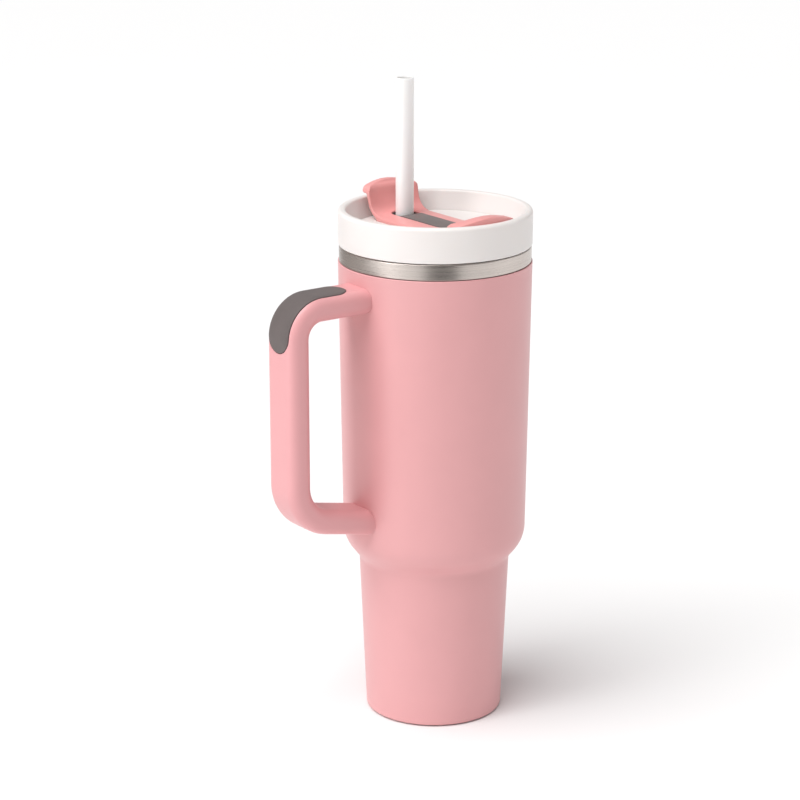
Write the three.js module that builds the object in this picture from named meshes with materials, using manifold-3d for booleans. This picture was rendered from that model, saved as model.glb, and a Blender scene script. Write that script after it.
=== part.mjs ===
// Insulated tumbler with a screw lid, a turning cover, a straw and a side handle.
// Millimetres, +Z up. The origin is the middle of the base, on the cup's axis.
// The handle points along -X, the finger tab and the straw lie towards +Y.

import * as THREE from 'three';
import { mergeVertices } from 'three/addons/utils/BufferGeometryUtils.js';
import Module from 'manifold-3d';

const wasm = await Module();
wasm.setup();

// ---------------------------------------------------------------- driving dimensions

const fitGap = 0.3;               // clearance between pieces that touch or slide
const roundSegments = 48;         // facets round the large turned pieces
const smallSegments = 24;         // facets round pins, screws and the straw

const cup = {
  shellTop: 240.3,                // height of the painted shell
  mouthRadius: 49.1,              // outer radius at the top of the shell
  shoulderRadius: 46.95,          // outer radius at the step, before rounding
  shoulderHeight: 94.1,
  shoulderRound: 18,
  neckRadius: 38.9,               // outer radius under the step, before rounding
  neckHeight: 84.25,
  neckRound: 6,
  footRadius: 35.3,
  footHeight: 0.6,                // the shell stops this far above the table
  footRound: 2.5,
  shellWall: 0.9,
  linerWall: 0.9,
  vacuumGap: 2.4,
  floorGap: 5,                    // vacuum gap between the bottom plate and the liner
  linerFloorRound: 1.5,
};

const base = { padThickness: 1.1, plateThickness: 1, plateInset: 2.6, padInset: 3.3, sealRadius: 2.6, sealRise: 0.6 };
const getter = { radius: 5, height: 2, offset: 14 };

// The bare mouth collar on top of the shell, and the threaded wall below it.
const collar = { height: 8, inset: 0.5, wall: 2.4, threadDepth: 12, round: 0.6, taper: 3 };

const thread = { pitch: 6, beadRadius: 1.1, bite: 0.5, rootLift: 0.4, endLift: 1.5 };

const handle = {
  width: 23.2,
  thickness: 12.8,
  round: 5,
  fingerRoom: 33.8,               // between the mouth of the cup and the grip
  dropFromTop: 13.3,              // shell top down to the middle of the upper arm
  liftFromStep: 17.4,             // step in the shell up to the root of the lower arm
  lowSlope: 11.7,                 // rise of the lower arm away from the cup, degrees
  topRound: 14,                   // bend radii at the middle of the section
  lowRound: 21,
  rootOverlap: 5,                 // how far the arms start inside the shell, before trimming
};

const grip = { width: 17.2, thickness: 1.8, proud: 0.3, rootGap: 8.6, drop: 20.7 };

const bracket = { length: 15, width: 12, thickness: 5 };
const screw = { shank: 1.5, head: 3, headThickness: 1.3, rootGap: 10, plugThickness: 0.7, depth: 0.3 };

const lid = {
  inset: 0.1,                     // the lid is this much smaller than the shell
  seat: 0.4,                      // gap between the collar and the lid
  height: 17.7,
  rimWidth: 3.7,
  rimOuterRound: 2.2,
  rimInnerRound: 1.5,
  lowerRound: 0.4,
  dishInset: 7,                   // rim outside to the foot of the dish wall
  floorHeight: 4.3,               // top of the lid's own floor above its lower edge
  floorThickness: 2,
  edgeWall: 2.1,                  // thickness of the outer wall below the floor
};

const skirt = { gap: 1.9, wall: 2, depth: 15.5 };
const gasket = { height: 2.6, drop: 0.2 };
const sealRing = { inset: 4.8, width: 2, height: 0.7 };
const disc = { thickness: 3.2, pocket: 1.9 };

const cover = {
  halfWidth: 15.6,
  edgeStep: 2.1,                  // the bar's long edges above the disc
  crown: 0.7,                     // rise of the bar from its edges to the insert
  edgeRound: 0.6,
  turn: 60,                       // travel of the cover, degrees
};

const insert = { thickness: 2.5, proud: 0.2, reach: 15.5 };

const tab = {
  rise: 7.8,                      // top of the tab above the lid's rim
  arch: 1.2,                      // point of the tab's outline above its rounded top
  archRound: 50,
  cornerRise: 6,
  cornerRound: 3,
  rootDepth: 1,                   // how far the tab's wall runs into the bar
  foot: 33,                       // where the tab's back leaves the bar, from the cup's axis
  hookReach: 44.2,
  hookRise: 2.7,                  // underside of the hook above the rim
  // Front of the tab as (distance from the axis, height above the bar's edge).
  front: [[29.9, 0], [32.2, 0.5], [34.4, 1.5], [35.8, 2.7], [36.9, 4.1], [37.8, 6.2], [38.3, 8.6], [38.8, 12.6]],
  // Back of the tab as (distance from the axis, height above the bar's edge), under the hook.
  back: [[40.5, 10.5], [39.9, 7.1], [38.5, 3.1], [36.4, 0.8], [34.2, -0.6]],
};

const lip = {
  halfWidth: 17.6,
  rise: 2.1,                      // middle of the lip above the lid's rim
  arch: 1.7,                      // point of the lip's outline above its rounded top
  archRound: 60,
  sideDrop: 0.3,                  // ends of the lip below the rim
  sideRound: 2,
  crestInset: 5.8,                // rim's inner edge to the lip's crest
  // Ramp of the lip as (distance inwards from the crest, height above the bar's crown).
  ramp: [[1.2, 7.6], [3, 4.4], [5.5, 1.9], [9.5, 0], [12, -0.4]],
};


const straw = {
  radius: 4.65,
  wall: 0.95,
  rise: 62.3,                     // above the lid's rim
  linerGap: 0.78,                 // between the straw and the liner at its foot
  slotGap: 1.15,
  holeGap: 2.1,
};

const pivot = { radius: 3, headRadius: 5.2, headThickness: 1.3, washerRadius: 7, washerThickness: 1.2 };
const grommet = { wall: 1.5, height: 2.7 };

// ---------------------------------------------------------------- materials

const finish = (color, roughness, metalness = 0) => ({ color, roughness, metalness });
const finishes = {
  pinkPaint: finish(0xe9b3b6, 0.38),
  pinkPlastic: finish(0xeea3a2, 0.4),
  whitePlastic: finish(0xf1eeec, 0.35),
  greyRubber: finish(0x75696a, 0.6),
  steel: finish(0xb9afa8, 0.3, 1),
  clearPlastic: finish(0xf3efec, 0.25),
  silicone: finish(0xd9d4d0, 0.6),
  pinkRubber: finish(0xc98588, 0.7),
  screwSteel: finish(0x8f8f92, 0.35, 1),
};

// ---------------------------------------------------------------- geometry helpers

const radians = THREE.MathUtils.degToRad;
const overrun = 1;                // how far a cutting shape runs past what it cuts

// Rounds the corners of an outline. A corner is [x, y] or [x, y, radius].
function roundCorners(corners, closed = true, arcStep = 22.5) {
  const points = [];
  const count = corners.length;
  corners.forEach(([x, y, radius = 0], i) => {
    const corner = new THREE.Vector2(x, y);
    const isEnd = !closed && (i === 0 || i === count - 1);
    if (radius === 0 || isEnd) {
      points.push(corner);
      return;
    }
    const before = new THREE.Vector2(...corners[(i + count - 1) % count].slice(0, 2)).sub(corner);
    const after = new THREE.Vector2(...corners[(i + 1) % count].slice(0, 2)).sub(corner);
    const room = 0.49 * Math.min(before.length(), after.length());
    before.normalize();
    after.normalize();
    const half = Math.acos(THREE.MathUtils.clamp(before.dot(after), -1, 1)) / 2;
    const setback = Math.min(radius / Math.tan(half), room);
    const fitted = setback * Math.tan(half);
    const centre = before.clone().add(after).normalize().multiplyScalar(fitted / Math.sin(half)).add(corner);
    const first = before.clone().multiplyScalar(setback).add(corner).sub(centre);
    const last = after.clone().multiplyScalar(setback).add(corner).sub(centre);
    const start = first.angle();
    let sweep = last.angle() - start;
    if (sweep > Math.PI) sweep -= 2 * Math.PI;
    if (sweep < -Math.PI) sweep += 2 * Math.PI;
    const steps = Math.max(1, Math.ceil(Math.abs(sweep) / radians(arcStep)));
    for (let k = 0; k <= steps; k++) {
      const angle = start + (sweep * k) / steps;
      points.push(new THREE.Vector2(Math.cos(angle), Math.sin(angle)).multiplyScalar(fitted).add(centre));
    }
  });
  return points;
}

// Moves an open outline sideways by a distance, to the left of its direction of travel.
function offsetOutline(corners, distance) {
  const point = (i) => new THREE.Vector2(corners[i][0], corners[i][1]);
  const normal = (i) => {
    const along = point(i + 1).sub(point(i)).normalize();
    return new THREE.Vector2(-along.y, along.x);
  };
  return corners.map((corner, i) => {
    const left = normal(Math.max(i - 1, 0));
    const right = normal(Math.min(i, corners.length - 2));
    const mitre = left.clone().add(right).normalize();
    const shift = mitre.multiplyScalar(distance / mitre.dot(right));
    const turn = left.cross(right);
    const radius = corner[2] ? Math.max(0.3, corner[2] - Math.sign(turn) * distance) : 0;
    return [corner[0] + shift.x, corner[1] + shift.y, radius];
  });
}

// Turns a closed three.js geometry into a solid whose faces point outwards.
function solid(geometry) {
  geometry.deleteAttribute('normal');
  geometry.deleteAttribute('uv');
  const merged = mergeVertices(geometry, 1e-4);
  const xyz = merged.attributes.position.array;
  const index = merged.index.array;
  const faces = [];
  const [a, b, c] = [new THREE.Vector3(), new THREE.Vector3(), new THREE.Vector3()];
  let volume = 0;
  for (let i = 0; i < index.length; i += 3) {
    const [p, q, r] = [index[i], index[i + 1], index[i + 2]];
    if (p === q || q === r || r === p) continue;
    faces.push([p, q, r]);
    a.fromArray(xyz, 3 * p);
    b.fromArray(xyz, 3 * q);
    c.fromArray(xyz, 3 * r);
    volume += a.dot(b.cross(c));
  }
  if (volume < 0) faces.forEach((face) => face.reverse());
  const triVerts = new Uint32Array(faces.flat());
  return new wasm.Manifold(new wasm.Mesh({ numProp: 3, vertProperties: xyz, triVerts }));
}

// A solid of revolution about Z from corners [radius, height, rounding].
function turned(corners, segments = roundSegments, arcStep = 22.5) {
  const touchesAxis = corners[0][0] === 0;
  const points = roundCorners(corners, !touchesAxis, arcStep);
  if (!touchesAxis) points.push(points[0].clone());
  return solid(new THREE.LatheGeometry(points, segments).rotateX(Math.PI / 2));
}

function ring(inner, outer, bottom, top, segments = roundSegments) {
  return turned([[inner, bottom], [outer, bottom], [outer, top], [inner, top]], segments);
}

function rod(radius, bottom, top, segments = smallSegments) {
  return turned([[0, bottom], [radius, bottom], [radius, top], [0, top]], segments);
}

function extrusion(points, length) {
  return new THREE.ExtrudeGeometry(new THREE.Shape(points), { depth: length, bevelEnabled: false, steps: 1 });
}

// An outline in the XY plane, raised from one height to another.
function plate(points, bottom, top) {
  return solid(extrusion(points, top - bottom).translate(0, 0, bottom));
}

// An outline in the XZ plane, extruded along Y between two places.
function beam(points, from, to) {
  return solid(extrusion(points, to - from).rotateX(Math.PI / 2).translate(0, to, 0));
}

function box(xs, ys, zs) {
  const corners = [[xs[0], ys[0]], [xs[1], ys[0]], [xs[1], ys[1]], [xs[0], ys[1]]];
  return plate(corners.map(([x, y]) => new THREE.Vector2(x, y)), zs[0], zs[1]);
}

function moved(shape, x, y, z) {
  return shape.translate([x, y, z]);
}

// A screw-thread bead: a round section that climbs one pitch per turn.
class Helix extends THREE.Curve {
  constructor(radius, start) {
    super();
    this.radius = radius;
    this.start = start;
  }

  getPoint(t, target = new THREE.Vector3()) {
    const angle = t * threadTurns * 2 * Math.PI;
    const height = this.start + t * threadTurns * thread.pitch;
    return target.set(this.radius * Math.cos(angle), this.radius * Math.sin(angle), height);
  }
}

function threadBead(radius, start) {
  const section = new THREE.Shape().absarc(0, 0, thread.beadRadius, 0, 2 * Math.PI);
  const steps = Math.round(threadTurns * 36);
  const path = new Helix(radius, start);
  return solid(new THREE.ExtrudeGeometry(section, { steps, extrudePath: path, curveSegments: 3 }));
}

// The spine of a swept bar: an open outline in the XZ plane, one step for each of its points.
class SpineCurve extends THREE.Curve {
  constructor(corners) {
    super();
    this.points = roundCorners(corners, false, 11.25);
    this.steps = this.points.length - 1;
  }

  getUtoTmapping(u) {
    return u;
  }

  getPoint(t, target = new THREE.Vector3()) {
    const place = THREE.MathUtils.clamp(t, 0, 1) * this.steps;
    const i = Math.min(Math.floor(place + 1e-6), this.steps - 1);
    const point = this.points[i].clone().lerp(this.points[i + 1], place - i);
    return target.set(point.x, 0, point.y);
  }

  // Half-way between the directions of the two steps that meet at a point.
  getTangent(t, target = new THREE.Vector3()) {
    const place = t * this.steps;
    const direction = (i) => {
      const k = THREE.MathUtils.clamp(i, 0, this.steps - 1);
      return this.points[k + 1].clone().sub(this.points[k]).normalize();
    };
    const mean = direction(Math.ceil(place - 1e-6) - 1).add(direction(Math.floor(place + 1e-6))).normalize();
    return target.set(mean.x, 0, mean.y);
  }

  // A section's x runs across the spine's plane, along Y, and its y runs in the plane.
  computeFrenetFrames(segments) {
    const tangents = Array.from({ length: segments + 1 }, (_, i) => this.getTangent(i / segments));
    const normals = tangents.map(() => new THREE.Vector3(0, 1, 0));
    const binormals = tangents.map((tangent, i) => tangent.clone().cross(normals[i]));
    return { tangents, normals, binormals };
  }
}

function sweep(spine, sectionPoints) {
  const shape = new THREE.Shape(sectionPoints);
  return solid(new THREE.ExtrudeGeometry(shape, { steps: spine.steps, extrudePath: spine }));
}

// ---------------------------------------------------------------- cup

const wallOffset = cup.shellWall + cup.vacuumGap;
const plateBottom = base.padThickness + fitGap;
const plateTop = plateBottom + base.plateThickness;
const linerBottom = plateTop + cup.floorGap;
const linerFloor = linerBottom + cup.linerWall;
const plateRadius = cup.footRadius - base.plateInset;

const collarBottom = cup.shellTop + fitGap;
const rimTop = collarBottom + collar.height;
const collarRadius = cup.mouthRadius - collar.inset;
const collarBore = collarRadius - collar.wall;

const lidRadius = cup.mouthRadius - lid.inset;
const lidBottom = rimTop + lid.seat;
const lidTop = lidBottom + lid.height;
const lidFloor = lidBottom + lid.floorHeight;
const rimInner = lidRadius - lid.rimWidth;
const dishFoot = lidRadius - lid.dishInset;

const skirtOuter = collarBore - skirt.gap;
const skirtBottom = lidBottom - skirt.depth;
const gasketTop = rimTop - gasket.drop;
const gasketBottom = gasketTop - gasket.height;

// Two thread beads overlap by the bite, and run half a pitch apart, as many turns as fit.
const maleThreadRadius = skirtOuter + thread.rootLift;
const femaleThreadRadius = maleThreadRadius + 2 * thread.beadRadius - thread.bite;
const maleThreadStart = skirtBottom + thread.endLift;
const femaleThreadStart = maleThreadStart + thread.pitch / 2;
const threadTurns = (gasketBottom - fitGap - thread.beadRadius - femaleThreadStart) / thread.pitch;

// The outside of the shell, from the mouth down to the foot.
const shellLine = [
  [cup.mouthRadius, cup.shellTop],
  [cup.shoulderRadius, cup.shoulderHeight, cup.shoulderRound],
  [cup.neckRadius, cup.neckHeight, cup.neckRound],
  [cup.footRadius, cup.footHeight],
];

function footLine(distance) {
  return offsetOutline(shellLine, -distance);
}

// Radius of the straight lower cone, moved inwards by a distance, at a height.
function lowerRadius(height, distance) {
  const share = (height - cup.footHeight) / (cup.neckHeight - cup.footHeight);
  return THREE.MathUtils.lerp(cup.footRadius, cup.neckRadius, share) - distance;
}

function outerShell() {
  const outside = shellLine.map((corner) => [...corner]);
  outside[3][2] = cup.footRound;
  const flangeInner = plateRadius + fitGap;
  const inside = footLine(cup.shellWall).reverse();
  const flangeTop = cup.footHeight + cup.shellWall;
  inside[0] = [lowerRadius(flangeTop, cup.shellWall), flangeTop, cup.footRound - cup.shellWall];
  inside[3][1] = cup.shellTop;
  return turned([...outside, [flangeInner, cup.footHeight], [flangeInner, flangeTop], ...inside]);
}

function innerLiner() {
  const threadFoot = collarBottom - collar.threadDepth;
  const wallOuter = footLine(wallOffset);
  const wallInner = footLine(wallOffset + cup.linerWall).reverse();
  const outerFoot = lowerRadius(linerBottom, wallOffset);
  const innerFoot = lowerRadius(linerFloor, wallOffset + cup.linerWall);
  const topInner = wallInner[3][0];
  const neckOuter = collarBore + cup.linerWall;
  const body = turned([
    [0, linerBottom],
    [outerFoot, linerBottom, cup.linerFloorRound + cup.linerWall],
    wallOuter[2],
    wallOuter[1],
    [wallOuter[0][0], threadFoot - collar.taper],
    [neckOuter, threadFoot],
    [neckOuter, collarBottom],
    [collarRadius, collarBottom],
    [collarRadius, rimTop, collar.round],
    [collarBore, rimTop, collar.round],
    [collarBore, threadFoot],
    [topInner, threadFoot - collar.taper],
    wallInner[2],
    wallInner[1],
    [innerFoot, linerFloor, cup.linerFloorRound],
    [0, linerFloor],
  ]);
  return body.add(threadBead(femaleThreadRadius, femaleThreadStart));
}

function bottomPlate() {
  const plateSolid = rod(plateRadius, plateBottom, plateTop, roundSegments);
  return plateSolid.subtract(rod(base.sealRadius + fitGap, plateBottom - overrun, plateTop + overrun));
}

function vacuumSealCap() {
  return rod(base.sealRadius, plateBottom, plateTop + base.sealRise);
}

function getterPellet() {
  const bottom = plateTop + fitGap;
  return moved(rod(getter.radius, bottom, bottom + getter.height), getter.offset, 0, 0);
}

function basePad() {
  return rod(cup.footRadius - base.padInset, 0, base.padThickness, roundSegments);
}

// ---------------------------------------------------------------- handle

const lowRise = Math.tan(radians(handle.lowSlope));
const handleReach = cup.mouthRadius + handle.fingerRoom + handle.thickness / 2;
const topArmHeight = cup.shellTop - handle.dropFromTop;

// Outer radius of the upper part of the shell at a height.
function upperRadius(height) {
  const share = (height - cup.shoulderHeight) / (cup.shellTop - cup.shoulderHeight);
  return THREE.MathUtils.lerp(cup.shoulderRadius, cup.mouthRadius, share);
}

const topRoot = upperRadius(topArmHeight);
const lowRoot = upperRadius(cup.shoulderHeight + handle.liftFromStep);

// Height of the middle of the lower arm at a distance from the cup's axis.
function lowArmHeight(distance) {
  return cup.shoulderHeight + handle.liftFromStep + (distance - lowRoot) * lowRise;
}

const handleSpine = new SpineCurve([
  [-topRoot + handle.rootOverlap, topArmHeight],
  [-handleReach, topArmHeight, handle.topRound],
  [-handleReach, lowArmHeight(handleReach), handle.lowRound],
  [-lowRoot + handle.rootOverlap, lowArmHeight(lowRoot - handle.rootOverlap)],
]);

function roundedSection(width, thickness, round) {
  const [x, y] = [width / 2, thickness / 2];
  return roundCorners([[x, -y, round], [x, y, round], [-x, y, round], [-x, -y, round]], true, 30);
}

// The cup's outside, grown by the fit gap, which the arms are trimmed to.
function shellClearance() {
  const line = offsetOutline(shellLine, fitGap);
  const clear = line[0][1] + overrun;
  return turned([[0, clear], [line[0][0], clear], ...line, [0, line[3][1]]]);
}

// The strip round the outside of the upper bend that the soft grip fills.
function gripBand(clearance) {
  const outer = handle.thickness / 2 + grip.proud + (clearance ? overrun : 0);
  const inner = handle.thickness / 2 - grip.thickness - clearance;
  const middle = (outer + inner) / 2;
  const reach = handleReach + middle;
  const height = topArmHeight + middle;
  const spine = new SpineCurve([
    [-topRoot - grip.rootGap + clearance, height],
    [-reach, height, handle.topRound + middle],
    [-reach, topArmHeight - grip.drop - clearance],
  ]);
  const [x, y] = [grip.width / 2 + clearance, (outer - inner) / 2];
  const section = [[x, -y], [x, y], [-x, y], [-x, -y]].map((corner) => new THREE.Vector2(...corner));
  return sweep(spine, section);
}

// Pieces at one arm's root, in the arm's own frame: -X outwards, origin at the arm's middle line.
const armFrames = {
  upper: { root: topRoot, height: topArmHeight, angle: 0 },
  lower: { root: lowRoot, height: lowArmHeight(lowRoot), angle: handle.lowSlope },
};

function inArmFrame(shape, arm) {
  const { root, height, angle } = armFrames[arm];
  return shape.rotate([0, angle, 0]).translate([-root, 0, height]);
}

function lug(clearance) {
  const half = bracket.width / 2 + clearance;
  const height = bracket.thickness / 2 + clearance;
  return box([-bracket.length - clearance, handle.rootOverlap], [-half, half], [-height, height]);
}

const armUnder = -handle.thickness / 2;
const headBottom = armUnder + screw.plugThickness + fitGap;
const headTop = headBottom + screw.headThickness;
const screwEnd = bracket.thickness * screw.depth;

function bracketSolid(arm) {
  const hole = moved(rod(screw.shank + fitGap, -bracket.thickness, screwEnd + fitGap), -screw.rootGap, 0, 0);
  return inArmFrame(lug(0).subtract(hole), arm).subtract(shellClearance());
}

function screwSolid(arm) {
  const shank = rod(screw.shank, headTop - screw.headThickness / 2, screwEnd);
  const head = rod(screw.head, headBottom, headTop);
  return inArmFrame(moved(head.add(shank), -screw.rootGap, 0, 0), arm);
}

function screwPlug(arm) {
  const plug = rod(screw.head + fitGap, armUnder, armUnder + screw.plugThickness);
  return inArmFrame(moved(plug, -screw.rootGap, 0, 0), arm);
}

function armCuts(arm) {
  const counterbore = rod(screw.head + 2 * fitGap, armUnder - overrun, headTop + fitGap);
  const hole = rod(screw.shank + fitGap, armUnder, 0);
  const screwSpace = moved(counterbore.add(hole), -screw.rootGap, 0, 0);
  return inArmFrame(lug(fitGap).add(screwSpace), arm);
}

function handleSolid() {
  const section = roundedSection(handle.width, handle.thickness, handle.round);
  return sweep(handleSpine, section)
    .subtract(shellClearance())
    .subtract(armCuts('upper'))
    .subtract(armCuts('lower'))
    .subtract(gripBand(fitGap));
}

// ---------------------------------------------------------------- lid

const lidFloorBottom = lidFloor - lid.floorThickness;
const sealInner = dishFoot - sealRing.inset;
const sealOuter = sealInner + sealRing.width;
const discBottom = lidFloor + fitGap;
const discTop = discBottom + disc.thickness;
const linerFoot = lowerRadius(linerFloor, wallOffset + cup.linerWall);
const strawOffset = linerFoot - straw.linerGap - straw.radius;

// A curved slot that lets the straw travel with the cover.
function strawSlot(bottom, top) {
  const half = straw.radius + straw.slotGap;
  const start = radians(90);
  const end = radians(90 + cover.turn);
  const endCentre = (angle) => [strawOffset * Math.cos(angle), strawOffset * Math.sin(angle)];
  const path = new THREE.Path();
  path.absarc(0, 0, strawOffset + half, start, end, false);
  path.absarc(...endCentre(end), half, end, end + Math.PI, false);
  path.absarc(0, 0, strawOffset - half, end, start, true);
  path.absarc(...endCentre(start), half, start + Math.PI, start + 2 * Math.PI, false);
  const points = path.getPoints(10);
  const distinct = points.filter((point, i) => point.distanceTo(points[(i + 1) % points.length]) > 0.01);
  return plate(distinct, bottom, top);
}

function lidBody() {
  const edgeInner = lidRadius - lid.edgeWall;
  const grooveInner = sealInner - fitGap;
  const grooveOuter = sealOuter + fitGap;
  const grooveBottom = lidFloor - sealRing.height - fitGap;
  const shape = turned([
    [lidRadius, lidBottom, lid.lowerRound],
    [lidRadius, lidTop, lid.rimOuterRound],
    [rimInner, lidTop, lid.rimInnerRound],
    [dishFoot, discTop],
    [dishFoot, lidFloor],
    [grooveOuter, lidFloor],
    [grooveOuter, grooveBottom],
    [grooveInner, grooveBottom],
    [grooveInner, lidFloor],
    [pivot.radius + fitGap, lidFloor],
    [pivot.radius + fitGap, lidFloorBottom],
    [edgeInner, lidFloorBottom],
    [edgeInner, lidBottom],
  ]);
  return shape.subtract(strawSlot(lidFloorBottom - overrun, lidFloor + overrun));
}

function lidSkirt() {
  const wall = ring(skirtOuter - skirt.wall, skirtOuter, skirtBottom, lidFloorBottom - fitGap);
  return wall.add(threadBead(maleThreadRadius, maleThreadStart));
}

function lidGasket() {
  return ring(skirtOuter + fitGap, collarBore - fitGap, gasketBottom, gasketTop);
}

function coverSealRing() {
  return ring(sealInner, sealOuter, lidFloor - sealRing.height, lidFloor);
}

// ---------------------------------------------------------------- turning cover

const pocketFloor = discTop - disc.pocket;
const barBottom = pocketFloor + fitGap;
const barEdge = discTop + cover.edgeStep;
const barCrown = barEdge + cover.crown;
const strawHole = straw.radius + straw.holeGap;
const insertHalf = strawHole - fitGap;
const insertTop = barCrown + insert.proud;
const insertBottom = insertTop - insert.thickness;
const recessFloor = insertBottom - fitGap;
const tabTop = lidTop + tab.rise;
const above = tabTop + 5;         // clear of everything on the lid

function strawHoleCut(bottom, top) {
  return moved(rod(strawHole, bottom, top), 0, strawOffset, 0);
}

// The plan of the bar: straight sides, a round end at the tab's foot and another at the dish wall.
function barRoom(gap, top) {
  const half = cover.halfWidth + gap;
  const bottom = barBottom - gap;
  const overlap = 5;              // shared length of the two halves
  const tabEnd = box([-half, half], [-overlap, lidRadius], [bottom, top])
    .intersect(rod(tab.foot + gap, bottom, top, roundSegments));
  return box([-half, half], [-lidRadius, 0], [bottom, top])
    .intersect(rod(dishFoot, bottom, top, roundSegments))
    .add(tabEnd);
}

function coverDisc() {
  return rod(dishFoot - fitGap, discBottom, discTop, roundSegments)
    .subtract(barRoom(fitGap, above))
    .subtract(strawHoleCut(lidFloor, above))
    .subtract(rod(pivot.radius + fitGap, lidFloor, above));
}

// The room inside the lid's dish that the bar and the lip may fill.
function dishRoom() {
  const foot = dishFoot - fitGap;
  const rim = rimInner - fitGap;
  return turned([
    [0, barBottom],
    [foot, barBottom],
    [foot, discTop],
    [rim, lidTop],
    [rim, above],
    [0, above],
  ]);
}

function coverBar() {
  const section = [
    [-cover.halfWidth, barBottom],
    [cover.halfWidth, barBottom],
    [cover.halfWidth, barEdge, cover.edgeRound],
    [strawHole, barCrown],
    [-strawHole, barCrown],
    [-cover.halfWidth, barEdge, cover.edgeRound],
  ];
  return beam(roundCorners(section), -lidRadius, lidRadius).intersect(barRoom(0, above));
}

// The finger tab: a thin turned wall that curves up from the bar and hooks out over the rim.
function fingerTab() {
  const front = tab.front.map(([radius, height]) => [radius, barEdge + height]);
  const back = tab.back.map(([radius, height]) => [radius, barEdge + height]);
  const hookBottom = lidTop + tab.hookRise;
  const inner = tab.front[0][0] - tab.rootDepth;
  const crest = tab.front.at(-1)[0];
  const wall = turned([
    [inner, barEdge],
    ...front,
    [crest, above],
    [tab.hookReach, above],
    [tab.hookReach, hookBottom],
    [tab.back[0][0], hookBottom],
    ...back,
    [tab.foot, discTop + fitGap],
    [inner, discTop + fitGap],
  ]);
  const half = cover.halfWidth;
  const cornerTop = lidTop + tab.cornerRise;
  const outline = roundCorners([
    [-half, barBottom],
    [half, barBottom],
    [half, cornerTop, tab.cornerRound],
    [0, tabTop + tab.arch, tab.archRound],
    [-half, cornerTop, tab.cornerRound],
  ]);
  return wall.intersect(beam(outline, 0, lidRadius));
}

// The low lip at the other end, a leaf that follows the inside of the rim.
function lowLip() {
  const crest = rimInner - lip.crestInset;
  const lipTop = lidTop + lip.rise;
  const sideTop = lidTop - lip.sideDrop;
  const rampEnd = crest - lip.ramp.at(-1)[0];
  const wall = turned([
    [rampEnd, barBottom],
    [rimInner, barBottom],
    [rimInner, lipTop + overrun],
    [crest, lipTop + overrun],
    ...lip.ramp.map(([inset, height]) => [crest - inset, barCrown + height]),
  ]);
  const half = lip.halfWidth;
  const overDisc = discTop + fitGap;
  const outline = roundCorners([
    [-cover.halfWidth, barBottom],
    [cover.halfWidth, barBottom],
    [cover.halfWidth, overDisc],
    [half, overDisc],
    [half, sideTop, lip.sideRound],
    [0, lipTop + lip.arch, lip.archRound],
    [-half, sideTop, lip.sideRound],
    [-half, overDisc],
    [-cover.halfWidth, overDisc],
  ]);
  return wall.intersect(beam(outline, -lidRadius, 0));
}

// A slot with a round end away from the straw.
function insertSlot(half, end, start, bottom, top) {
  const roundEnd = end + half;
  return box([-half, half], [roundEnd, start], [bottom, top])
    .add(moved(rod(half, bottom, top), 0, roundEnd, 0));
}

function rotatingCover() {
  const recessEnd = -insert.reach - fitGap;
  return coverBar()
    .add(lowLip())
    .intersect(dishRoom())
    .add(fingerTab())
    .subtract(insertSlot(strawHole, recessEnd, strawOffset, recessFloor, above))
    .subtract(strawHoleCut(discBottom, above))
    .subtract(rod(pivot.radius + fitGap, discBottom, recessFloor + overrun));
}

function coverInsert() {
  const start = strawOffset - straw.radius - straw.slotGap;
  return insertSlot(insertHalf, -insert.reach, start, insertBottom, insertTop);
}

function strawGrommet() {
  const bottom = discBottom + fitGap;
  const inner = straw.radius + fitGap;
  const shape = ring(inner, inner + grommet.wall, bottom, bottom + grommet.height, smallSegments);
  return moved(shape, 0, strawOffset, 0);
}

const washerTop = lidFloorBottom - fitGap;
const washerBottom = washerTop - pivot.washerThickness;

function pivotPin() {
  const headEnd = washerBottom - fitGap;
  const head = rod(pivot.headRadius, headEnd - pivot.headThickness, headEnd);
  return head.add(rod(pivot.radius, headEnd - pivot.headThickness / 2, recessFloor));
}

function pivotWasher() {
  return ring(pivot.radius + fitGap, pivot.washerRadius, washerBottom, washerTop, smallSegments);
}

// ---------------------------------------------------------------- straw

function strawTube() {
  const bottom = linerFloor + fitGap;
  const tube = ring(straw.radius - straw.wall, straw.radius, bottom, lidTop + straw.rise, smallSegments);
  return moved(tube, 0, strawOffset, 0);
}

// ---------------------------------------------------------------- assembly

function piece(name, shape, finishName) {
  const mesh = shape.getMesh();
  const geometry = new THREE.BufferGeometry();
  geometry.setAttribute('position', new THREE.BufferAttribute(mesh.vertProperties, 3));
  geometry.setIndex(new THREE.BufferAttribute(mesh.triVerts, 1));
  geometry.computeVertexNormals();
  const node = new THREE.Mesh(geometry, new THREE.MeshStandardMaterial(finishes[finishName]));
  node.name = name;
  return node;
}

const group = new THREE.Group();

group.add(
  piece('outer_shell', outerShell(), 'pinkPaint'),
  piece('inner_liner', innerLiner(), 'steel'),
  piece('bottom_plate', bottomPlate(), 'steel'),
  piece('vacuum_seal_cap', vacuumSealCap(), 'steel'),
  piece('getter_pellet', getterPellet(), 'steel'),
  piece('base_pad', basePad(), 'pinkRubber'),
  piece('handle', handleSolid(), 'pinkPaint'),
  piece('comfort_grip', gripBand(0), 'greyRubber'),
);

for (const arm of ['upper', 'lower']) {
  group.add(
    piece(`${arm}_bracket`, bracketSolid(arm), 'steel'),
    piece(`${arm}_screw`, screwSolid(arm), 'screwSteel'),
    piece(`${arm}_screw_plug`, screwPlug(arm), 'greyRubber'),
  );
}

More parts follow.
